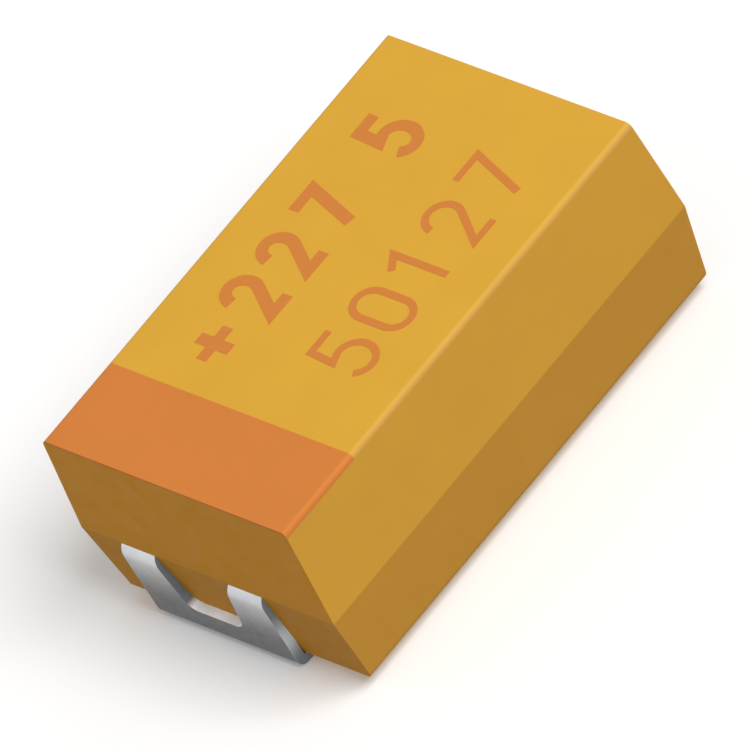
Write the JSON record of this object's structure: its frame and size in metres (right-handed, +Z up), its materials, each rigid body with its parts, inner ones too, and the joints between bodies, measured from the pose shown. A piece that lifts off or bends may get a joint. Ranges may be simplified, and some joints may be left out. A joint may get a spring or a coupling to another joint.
{
  "type": "tantalum capacitor",
  "caption": "Surface-mount tantalum capacitor: a moulded epoxy block with drafted halves, an orange band at the anode end and bent tinned terminals folded under both ends.",
  "frame": {"origin": "in the plane of the feet's undersides, below the middle of the case", "axes": "+X along the length with the anode end and its band at -X, +Y across the width, +Z up from the board"},
  "size_m": [0.0072, 0.0044, 0.003],
  "materials": {
    "case_epoxy": "moulded epoxy, golden yellow with a printed orange band",
    "tinned_lead": "tin-plated strip",
    "sintered_tantalum": "porous sintered metal",
    "tantalum_wire": "drawn wire",
    "washer_ptfe": "smooth",
    "manganese_dioxide": "dull black crust",
    "graphite": "dull dark grey coat",
    "silver_coat": "matt silver paint",
    "silver_epoxy": "matt silver-filled adhesive"
  },
  "bodies": {
    "root": {"moulded_case": "case_epoxy", "anode_terminal": "tinned_lead", "cathode_terminal": "tinned_lead", "anode_pellet": "sintered_tantalum", "anode_wire": "tantalum_wire", "insulating_washer": "washer_ptfe", "manganese_dioxide_layer": "manganese_dioxide", "graphite_layer": "graphite", "silver_layer": "silver_coat", "silver_adhesive": "silver_epoxy"}
  },
  "joints": []
}
